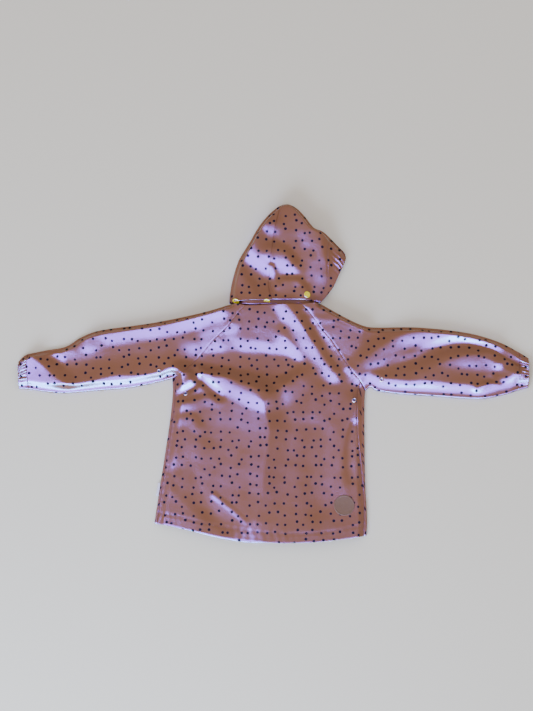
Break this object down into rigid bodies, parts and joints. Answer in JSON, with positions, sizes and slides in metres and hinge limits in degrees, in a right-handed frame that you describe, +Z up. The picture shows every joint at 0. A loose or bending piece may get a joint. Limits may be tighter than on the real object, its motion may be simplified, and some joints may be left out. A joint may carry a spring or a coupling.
{
  "type": "toddler raincoat",
  "caption": "Hooded toddler raincoat with raglan sleeves, laid flat on its front: back, fronts, sleeves, elastic cuffs, stand collar and a hood held by snaps.",
  "frame": {"origin": "centre of the bounding box, on the surface that the coat lies on", "axes": "+X from the left cuff to the right cuff as seen from above, +Y from the hem to the top of the hood, +Z up from the surface"},
  "size_m": [0.941, 0.6326, 0.0306],
  "materials": {
    "coated_cloth": "satin polyurethane-coated cloth, dusty rose with small dark dots",
    "yellow_plastic": "smooth moulded plastic, clear yellow",
    "eyelet_metal": "pale lacquered metal",
    "patch_rubber": "matt beige moulded rubber, blank",
    "label_tape": "plain woven tape, pale, blank"
  },
  "bodies": {
    "root": {"back_panel": "coated_cloth", "front_left": "coated_cloth", "front_right": "coated_cloth", "sleeve_left": "coated_cloth", "sleeve_right": "coated_cloth", "cuff_left": "coated_cloth", "cuff_right": "coated_cloth", "collar": "coated_cloth", "hood_left": "coated_cloth", "hood_right": "coated_cloth", "hood_casing": "coated_cloth", "patch": "patch_rubber", "side_label": "label_tape", "eyelet_back_left": "eyelet_metal", "eyelet_back_right": "eyelet_metal", "eyelet_sleeve_left": "eyelet_metal", "eyelet_sleeve_right": "eyelet_metal", "hood_snap_1": "yellow_plastic", "hood_snap_2": "yellow_plastic", "hood_snap_3": "yellow_plastic", "front_snap_1": "yellow_plastic", "front_snap_2": "yellow_plastic", "front_snap_3": "yellow_plastic", "front_snap_4": "yellow_plastic", "front_snap_5": "yellow_plastic"}
  },
  "joints": []
}
